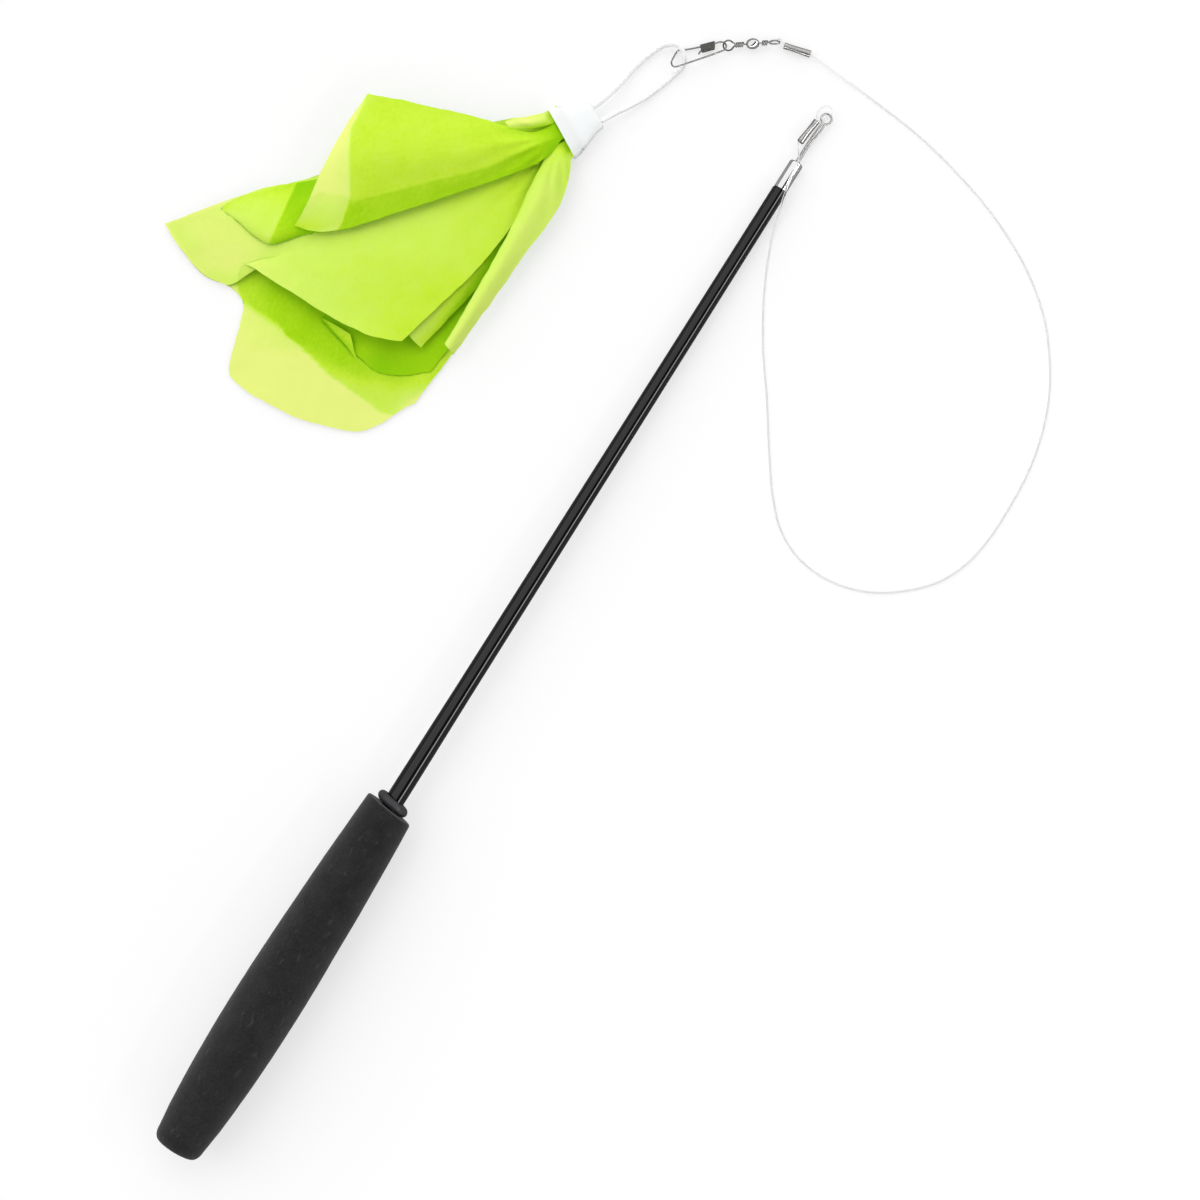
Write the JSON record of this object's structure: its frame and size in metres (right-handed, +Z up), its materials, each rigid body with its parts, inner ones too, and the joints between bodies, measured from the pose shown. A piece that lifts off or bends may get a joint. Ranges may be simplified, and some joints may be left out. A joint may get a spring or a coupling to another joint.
{
  "type": "cat fishing rod toy",
  "caption": "Wand toy for cats: foam grip, tapered rod and clear line, with a swivel and safety snap that carry a lure of folded tissue leaves in a moulded cap.",
  "frame": {"origin": "middle of the grip's flat butt face, with the toy lying on a table that is the plane Z = -0.01651", "axes": "+Y along the rod toward its tip, which dips by 1.6 degrees to the table, +Z up from the table, and the lure lies toward -X"},
  "size_m": [0.3638, 0.5285, 0.029],
  "materials": {
    "black_foam": "matte closed-cell foam",
    "black_rubber": "satin",
    "black_lacquer": "glossy lacquer over glass fibre",
    "chrome": "bright plating",
    "dull_steel": "dull drawn wire",
    "bright_steel": "bright drawn wire",
    "plated_sheet": "plated sheet",
    "crimp_metal": "bright, pressed",
    "clear_nylon": "clear monofilament",
    "milky_plastic": "translucent, satin",
    "white_cord": "soft braided cord",
    "lime_tissue": "matte tissue"
  },
  "bodies": {
    "rod_and_line": {"foam_grip": "black_foam", "grip_collar": "black_rubber", "rod_blank": "black_lacquer", "tip_ferrule": "chrome", "tip_eye": "dull_steel", "tip_crimp": "crimp_metal", "fishing_line": "clear_nylon", "swivel_crimp": "crimp_metal"},
    "line_eye": {"swivel_line_eye": "bright_steel"},
    "ball": {"swivel_body": "chrome"},
    "snap_eye": {"swivel_snap_eye": "bright_steel"},
    "snap": {"snap_wire": "bright_steel", "snap_clasp": "plated_sheet"},
    "sprung_arm": {"snap_arm": "bright_steel"},
    "lure": {"lure_cord": "white_cord", "lure_cap": "milky_plastic", "paper_lower": "lime_tissue", "paper_pleat": "lime_tissue", "paper_middle": "lime_tissue", "paper_top": "lime_tissue", "paper_band": "lime_tissue"}
  },
  "joints": [
    {"name": "line_eye_swing", "type": "hinge", "parent": "rod_and_line", "child": "line_eye", "pos_m": [-0.03314, 0.5242, -0.01406], "axis": [-0.2953, 0.4035, -0.866], "range_deg": [-5, 60]},
    {"name": "barrel_spin", "type": "hinge", "parent": "line_eye", "child": "ball", "pos_m": [-0.0423, 0.5175, -0.01406], "axis": [-0.807, -0.5906, 0], "continuous": true},
    {"name": "snap_eye_spin", "type": "hinge", "parent": "ball", "child": "snap_eye", "pos_m": [-0.0423, 0.5175, -0.01406], "axis": [-0.807, -0.5906, 0], "continuous": true},
    {"name": "snap_swing", "type": "hinge", "parent": "snap_eye", "child": "snap", "pos_m": [-0.05227, 0.51021, -0.01406], "axis": [0.5353, -0.7314, -0.4226], "range_deg": [-30, 30]},
    {"name": "snap_arm_open", "type": "hinge", "parent": "snap", "child": "sprung_arm", "pos_m": [-0.06756, 0.49835, -0.01586], "axis": [-0.366, 0.3406, 0.866], "range_deg": [0, 20], "stiffness_Nm_per_rad": 0.002, "springref_deg": -11.46},
    {"name": "lure_swing", "type": "hinge", "parent": "snap", "child": "lure", "pos_m": [-0.0668, 0.4946, -0.01391], "axis": [0, 0, -1], "range_deg": [-10, 25]}
  ]
}
